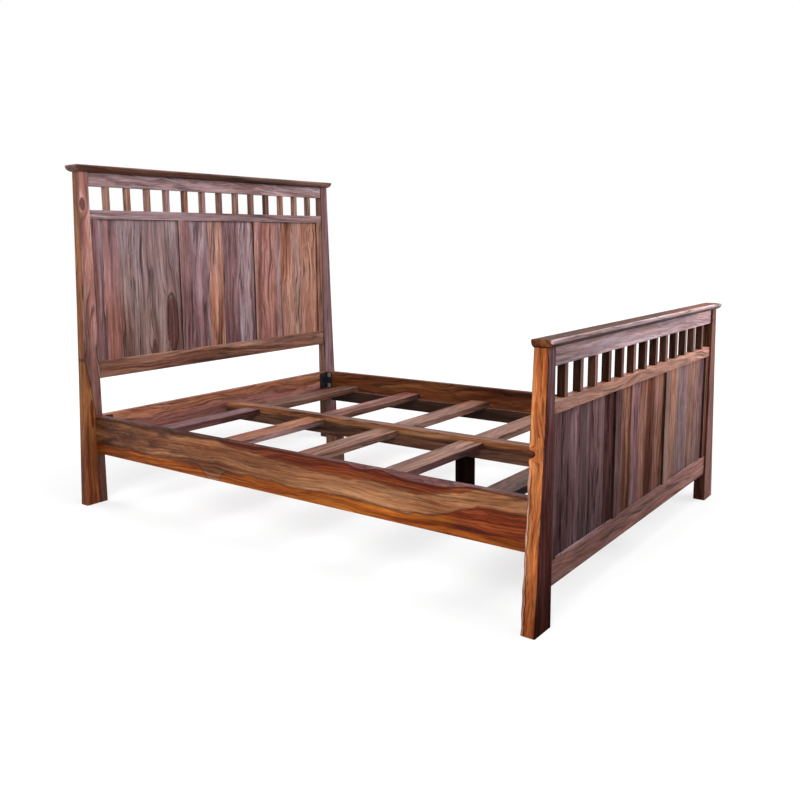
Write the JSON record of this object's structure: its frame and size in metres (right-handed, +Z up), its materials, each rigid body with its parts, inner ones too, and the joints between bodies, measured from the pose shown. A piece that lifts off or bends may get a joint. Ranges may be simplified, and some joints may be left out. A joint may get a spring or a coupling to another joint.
{
  "type": "wooden bed",
  "caption": "Slatted wooden bed frame with panelled head and foot boards, tapered posts, spindle rows under the caps, side rails and a legged centre rail.",
  "frame": {"origin": "on the floor, at the middle of the bed's length and width", "axes": "+X across the bed, +Y towards the headboard, +Z up"},
  "size_m": [1.701, 2.211, 1.45],
  "materials": {
    "board_wood": "satin lacquered, streaky brown hardwood",
    "panel_wood": "satin lacquered, glued up from boards of different browns",
    "bed_frame_wood": "satin lacquered hardwood",
    "black_steel": "black coated steel",
    "zinc_plated_steel": "pale zinc plating"
  },
  "bodies": {
    "root": {"centre_ledger_left": "bed_frame_wood", "centre_ledger_right": "bed_frame_wood", "centre_leg_bracket_foot": "black_steel", "centre_leg_bracket_head": "black_steel", "centre_leg_foot": "bed_frame_wood", "centre_leg_head": "bed_frame_wood", "centre_leg_screws_foot": "black_steel", "centre_leg_screws_head": "black_steel", "centre_rail": "bed_frame_wood", "corner_bolts": "zinc_plated_steel", "corner_bracket_foot_left": "black_steel", "corner_bracket_foot_right": "black_steel", "corner_bracket_head_left": "black_steel", "corner_bracket_head_right": "black_steel", "corner_screws": "black_steel", "foot_cross_rail": "board_wood", "footboard_bottom_rail": "board_wood", "footboard_cap": "board_wood", "footboard_inner_stile_left": "board_wood", "footboard_inner_stile_right": "board_wood", "footboard_middle_rail": "board_wood", "footboard_outer_stile_left": "board_wood", "footboard_outer_stile_right": "board_wood", "footboard_panel_left": "panel_wood", "footboard_panel_middle": "panel_wood", "footboard_panel_right": "panel_wood", "footboard_post_left": "board_wood", "footboard_post_right": "board_wood", "footboard_spindles": "board_wood", "footboard_top_rail": "board_wood", "head_cross_rail": "board_wood", "headboard_bottom_rail": "board_wood", "headboard_cap": "board_wood", "headboard_inner_stile_left": "board_wood", "headboard_inner_stile_right": "board_wood", "headboard_middle_rail": "board_wood", "headboard_outer_stile_left": "board_wood", "headboard_outer_stile_right": "board_wood", "headboard_panel_left": "panel_wood", "headboard_panel_middle": "panel_wood", "headboard_panel_right": "panel_wood", "headboard_post_left": "board_wood", "headboard_post_right": "board_wood", "headboard_spindles": "board_wood", "headboard_top_rail": "board_wood", "side_ledger_left": "bed_frame_wood", "side_ledger_right": "bed_frame_wood", "side_rail_left": "board_wood", "side_rail_right": "board_wood", "slat_left_1": "bed_frame_wood", "slat_left_2": "bed_frame_wood", "slat_left_3": "bed_frame_wood", "slat_left_4": "bed_frame_wood", "slat_left_5": "bed_frame_wood", "slat_right_1": "bed_frame_wood", "slat_right_2": "bed_frame_wood", "slat_right_3": "bed_frame_wood", "slat_right_4": "bed_frame_wood", "slat_right_5": "bed_frame_wood"}
  },
  "joints": []
}
